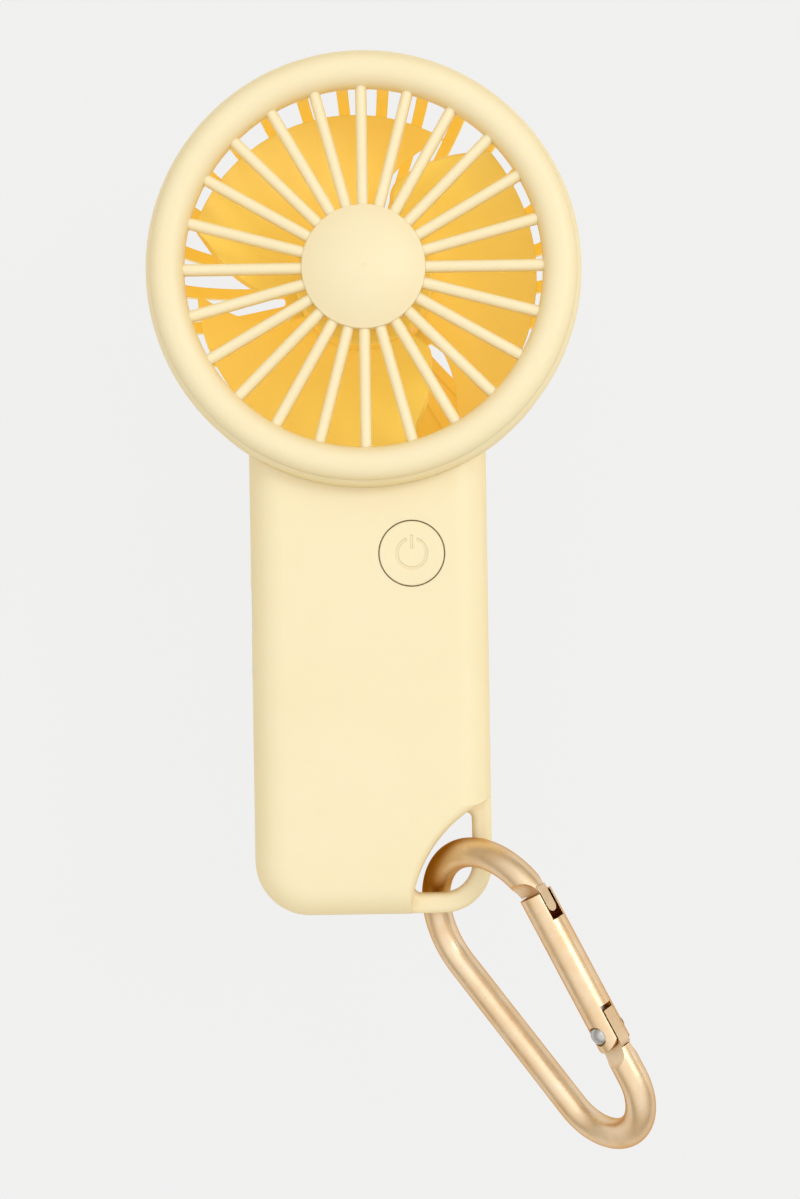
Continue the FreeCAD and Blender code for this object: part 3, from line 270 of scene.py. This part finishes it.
def anodised_gold(name):
    """Satin gold anodising over aluminium, with fine polishing lines, specks and worn spots.

    It has painted reflection and shade: a deeper amber in nooks and near other surfaces, where it would
    reflect them.
    """
    n = Nodes(name)
    cloud = n.remap(n.noise(CLOUD, 5.0, 0.65), 0.35, 0.7)
    base = n.mix(cloud, GOLD, GOLD_DEEP)
    specks = n.remap(n.noise(SPECK, 2.0, 0.5), 0.72, 0.77)
    base = n.mix(n.maths("MULTIPLY", specks, 0.5), base, GOLD_SPECK)
    worn = n.remap(n.noise(WEAR, 3.0, 0.7), 0.66, 0.74)
    base = n.mix(n.maths("MULTIPLY", worn, 0.4), base, GOLD_WORN)
    # Painted reflection and shade: deeper amber where other surfaces are near
    nook_shade = n.remap(n.add("AmbientOcclusion", {"Distance": 9 * MM}, samples=8).outputs["AO"], 0.80, 0.35)
    base = n.mix(nook_shade, base, GOLD_NOOK_SHADE)
    lines = n.noise(1.0, 3.0, 0.6, n.stretched(POLISH_LINES))
    rough = n.remap(n.noise(BLOTCH, 3.0), 0.3, 0.7, 0.29, 0.41)
    height = n.maths("ADD", n.maths("MULTIPLY", lines, 0.5), n.noise(POLISH, 2.0))
    normal = n.bump(height, 0.14, 0.03 * MM, n.soft_edges(0.15 * MM))
    return n.surface(base, rough, 1.0, normal, {"Specular Tint": (*GOLD_EDGE, 1.0)})


def plain_metal(name, color, roughness=0.3, lines=TURNED_LINES):
    """Drawn or turned metal with fine lines and slightly uneven polish."""
    n = Nodes(name)
    streak = n.noise(1.0, 3.0, 0.6, n.stretched(lines))
    dark = tuple(c * 0.72 for c in color)
    base = n.mix(n.remap(streak, 0.35, 0.65), dark, color)
    rough = n.remap(n.noise(700.0), 0.3, 0.7, roughness - 0.06, roughness + 0.1)
    return n.surface(base, rough, 1.0, n.bump(streak, 0.12, 0.03 * MM))


def small_plastic(name, color, roughness=0.5):
    """Moulded technical plastic or rubber with a fine grain."""
    n = Nodes(name)
    dark = tuple(c * 0.8 for c in color)
    base = n.mix(n.remap(n.noise(BLOTCH), 0.35, 0.65), dark, color)
    rough = n.remap(n.noise(1200.0), 0.3, 0.7, roughness - 0.06, roughness + 0.08)
    return n.surface(base, rough, 0.0, n.bump(n.noise(4000.0), 0.15, 0.03 * MM))


def circuit_board(name):
    """Green solder mask with raised copper tracks and glassy sheen."""
    n = Nodes(name)
    tracks = n.remap(n.bands(320.0, 3.0, 1.0), 0.62, 0.70)
    base = n.mix(tracks, (0.01, 0.10, 0.035), (0.025, 0.20, 0.07))
    return n.surface(base, 0.28, 0.0, n.bump(tracks, 0.3, 0.05 * MM))


def wound_copper(name):
    """Enamelled copper wire laid turn by turn."""
    n = Nodes(name)
    turns = n.bands(900.0, 0.6)
    base = n.mix(turns, (0.25, 0.07, 0.02), (0.62, 0.25, 0.08))
    return n.surface(base, 0.3, 0.85, n.bump(turns, 0.6, 0.1 * MM))


# ---------------------------------------------------------------- finish of each CAD node

FINISH = {
    # Shell and grille get painted amber shade and glow inside the head; the impeller gets a painted
    # glow
    "shell": moulded_plastic("cream_shell", CREAM, CREAM_EDGE_SHADE, AMBER),
    "grille": moulded_plastic("cream_grille", CREAM, CREAM_EDGE_SHADE, AMBER, 0.40),
    "impeller": moulded_plastic("amber_impeller", AMBER, AMBER_EDGE_SHADE, None, 0.38, AMBER_PAINTED_GLOW),
    "button": moulded_plastic("cream_button", CREAM, CREAM_EDGE_SHADE, None, 0.38),
    "steel": plain_metal("bright_steel", (0.60, 0.60, 0.61)),
    "magnet": small_plastic("bonded_magnet", (0.06, 0.06, 0.065), 0.6),
    "lamination": plain_metal("steel_laminations", (0.30, 0.31, 0.33), 0.4, STAMPED_LINES),
    "insulator": small_plastic("white_nylon", (0.75, 0.75, 0.70)),
    "copper": wound_copper("copper_windings"),
    "brass": plain_metal("turned_brass", (0.75, 0.55, 0.22), 0.28),
    "board": circuit_board("green_board"),
    "chips": small_plastic("black_epoxy", (0.02, 0.02, 0.022), 0.45),
    "port": plain_metal("nickel_plate", (0.66, 0.65, 0.62), 0.25),
    "black_plastic": small_plastic("black_nylon", (0.015, 0.015, 0.016), 0.5),
    "light_pipe": small_plastic("frosted_lens", (0.85, 0.85, 0.82), 0.35),
    "led": small_plastic("led_epoxy", (0.85, 0.75, 0.35), 0.3),
    "cell": plain_metal("foil_pouch", (0.70, 0.71, 0.73), 0.38, EVEN_LINES),
    "foam": small_plastic("black_foam", (0.03, 0.03, 0.03), 0.9),
    "connector": small_plastic("natural_nylon", (0.80, 0.78, 0.70), 0.5),
    "wire": small_plastic("red_insulation", (0.45, 0.02, 0.02), 0.45),
    "gold": anodised_gold("satin_gold"),
}


def finish_nodes():
    for part in frame["record"]["subparts"]:
        node = nodes[part["node"]]
        node.data.materials.clear()
        node.data.materials.append(FINISH[part["material_slot"]])
        for face in node.data.polygons:
            face.material_index = 0


finish_nodes()


# ---------------------------------------------------------------- table, light and camera

def table_top():
    """Evenly glowing pale surface that shows only its front and lets the lamps' light through."""
    mesh = bpy.data.meshes.new("table_top")
    half = TABLE_HALF
    corners = [(x, TABLE_Y, z) for x, z in ((-half, -half), (half, -half), (half, half), (-half, half))]
    mesh.from_pydata(corners, [], [(0, 1, 2, 3)])
    floor = bpy.data.objects.new("table_top", mesh)
    bpy.context.scene.collection.objects.link(floor)
    n = Nodes("pale_table")
    glow = n.add("Emission", {"Color": (*PALE, 1.0), "Strength": TABLE_GLOW})
    matt = n.add("BsdfDiffuse", {"Color": (TABLE_MATT, TABLE_MATT, TABLE_MATT, 1.0)})
    lit = n.add("AddShader", {0: glow.outputs[0], 1: matt.outputs[0]})
    clear = n.add("BsdfTransparent")
    path = n.add("LightPath")
    back = n.add("NewGeometry").outputs["Backfacing"]
    away = n.maths("MAXIMUM", back, path.outputs["Is Shadow Ray"])
    both = n.add("MixShader", {"Fac": away, 1: lit.outputs[0], 2: clear.outputs[0]})
    n.tree.links.new(both.outputs[0], n.output.inputs["Surface"])
    mesh.materials.append(n.material)


def world_light():
    """Bright white in front of the fan, dimmer and warmer round it, and plain to the camera."""
    world = bpy.data.worlds.new("pale_studio")
    bpy.context.scene.world = world
    world.use_nodes = True
    tree = world.node_tree
    direction = tree.nodes.new("ShaderNodeTexCoord")
    parts = tree.nodes.new("ShaderNodeSeparateXYZ")
    ramp = tree.nodes.new("ShaderNodeMapRange")
    ramp.interpolation_type = "SMOOTHSTEP"
    ramp.inputs["From Min"].default_value = SIDE_Y
    ramp.inputs["From Max"].default_value = FRONT_Y
    power = tree.nodes.new("ShaderNodeMapRange")
    power.inputs["To Min"].default_value = WORLD_SIDE
    power.inputs["To Max"].default_value = WORLD_FRONT
    tint = tree.nodes.new("ShaderNodeMix")
    tint.data_type = "RGBA"
    tint.inputs["A"].default_value = (*WARM_SIDE, 1.0)
    tint.inputs["B"].default_value = (*WHITE, 1.0)
    sky = tree.nodes["Background"]
    tree.links.new(direction.outputs["Generated"], parts.inputs[0])
    tree.links.new(parts.outputs["Y"], ramp.inputs["Value"])
    tree.links.new(ramp.outputs["Result"], power.inputs["Value"])
    tree.links.new(ramp.outputs["Result"], tint.inputs["Factor"])
    tree.links.new(power.outputs["Result"], sky.inputs["Strength"])
    tree.links.new(tint.outputs["Result"], sky.inputs["Color"])
    plain = tree.nodes.new("ShaderNodeBackground")
    plain.inputs["Color"].default_value = (*PALE, 1.0)
    seen = tree.nodes.new("ShaderNodeLightPath")
    choice = tree.nodes.new("ShaderNodeMixShader")
    tree.links.new(seen.outputs["Is Camera Ray"], choice.inputs["Fac"])
    tree.links.new(sky.outputs[0], choice.inputs[1])
    tree.links.new(plain.outputs[0], choice.inputs[2])
    tree.links.new(choice.outputs[0], tree.nodes["World Output"].inputs["Surface"])


def lamp(name, place, width, power):
    data = bpy.data.lights.new(name, "AREA")
    data.size = width
    data.energy = power
    light = bpy.data.objects.new(name, data)
    light.location = place
    light.rotation_euler = (FAN_MIDDLE - Vector(place)).to_track_quat("-Z", "Y").to_euler()
    bpy.context.scene.collection.objects.link(light)


def camera():
    """Looks straight at the fan's front, rolled by under one degree."""
    data = bpy.data.cameras.new("camera")
    data.sensor_width = CAMERA_SENSOR
    data.lens = CAMERA_LENS
    data.clip_start = 10 * MM
    view = bpy.data.objects.new("camera", data)
    right = Vector((math.cos(CAMERA_ROLL), 0, -math.sin(CAMERA_ROLL)))
    up = Vector((math.sin(CAMERA_ROLL), 0, math.cos(CAMERA_ROLL)))
    back = right.cross(up)
    turn = Matrix((right, up, back)).transposed()
    view.matrix_world = Matrix.Translation(Vector(CAMERA_PLACE)) @ turn.to_4x4()
    bpy.context.scene.collection.objects.link(view)
    bpy.context.scene.camera = view


table_top()
world_light()
for name, (place, width, power) in LAMPS.items():
    lamp(name, place, width, power)
camera()
bpy.context.scene.view_settings.view_transform = "Standard"
